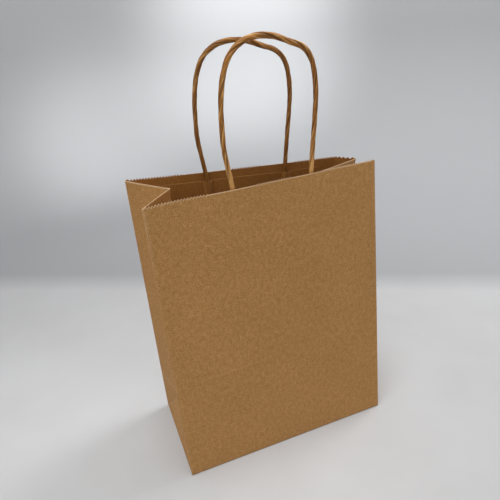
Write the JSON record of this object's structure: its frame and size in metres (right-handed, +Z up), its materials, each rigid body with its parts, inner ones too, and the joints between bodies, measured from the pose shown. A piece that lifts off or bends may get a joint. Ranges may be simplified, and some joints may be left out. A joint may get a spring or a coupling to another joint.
{
  "type": "gift bag",
  "caption": "Open paper gift bag with gusseted sides, a square base and twisted paper cord handles glued under patches inside the front and back walls.",
  "frame": {"origin": "middle of the base, on the surface that the bag stands on", "axes": "+Z up, +Y from the front wall to the back wall, +X to the right seen from the front"},
  "size_m": [0.203, 0.102, 0.3604],
  "materials": {
    "kraft_outside": "matte",
    "kraft_gusset": "matte",
    "kraft_inside": "matte",
    "twisted_cord": "matte, twisted"
  },
  "bodies": {
    "root": {"front_lower_panel": "kraft_outside", "back_lower_panel": "kraft_outside", "left_gusset_front": "kraft_gusset", "left_gusset_back": "kraft_gusset", "left_gusset_front_foot": "kraft_gusset", "left_gusset_back_foot": "kraft_gusset", "left_gusset_base": "kraft_gusset", "right_gusset_front": "kraft_gusset", "right_gusset_back": "kraft_gusset", "right_gusset_front_foot": "kraft_gusset", "right_gusset_back_foot": "kraft_gusset", "right_gusset_base": "kraft_gusset", "bottom_outer_flap": "kraft_outside", "bottom_inner_flap": "kraft_outside", "bottom_left_tuck": "kraft_inside", "bottom_right_tuck": "kraft_inside", "seam_lap_lower": "kraft_inside"},
    "front_wall": {"front_panel": "kraft_outside", "front_patch_backing": "kraft_inside", "front_patch_cover": "kraft_inside", "front_cord_ends": "twisted_cord"},
    "back_wall": {"back_panel": "kraft_outside", "seam_lap": "kraft_inside", "back_patch_backing": "kraft_inside", "back_patch_cover": "kraft_inside", "back_cord_ends": "twisted_cord"},
    "front_handle_body": {"front_handle": "twisted_cord"},
    "back_handle_body": {"back_handle": "twisted_cord"}
  },
  "joints": [
    {"name": "front_wall_hinge", "type": "hinge", "parent": "root", "child": "front_wall", "pos_m": [0, -0.04497, 0.09975], "axis": [0.9993, 0.0364, -0.0022], "range_deg": [-2.5, 3], "deforming": ["left_gusset_front", "right_gusset_front"]},
    {"name": "back_wall_hinge", "type": "hinge", "parent": "root", "child": "back_wall", "pos_m": [0, 0.051, 0.046], "axis": [-1, 0, 0], "range_deg": [-2.5, 3], "deforming": ["left_gusset_back", "right_gusset_back"]},
    {"name": "front_handle_hinge", "type": "hinge", "parent": "front_wall", "child": "front_handle_body", "pos_m": [0.00342, -0.03428, 0.25681], "axis": [0.9956, 0.0932, -0.0056], "range_deg": [-5, 90]},
    {"name": "back_handle_hinge", "type": "hinge", "parent": "back_wall", "child": "back_handle_body", "pos_m": [-0.00015, 0.02011, 0.25516], "axis": [-0.9843, 0.1746, 0.0252], "range_deg": [-5, 90]}
  ]
}
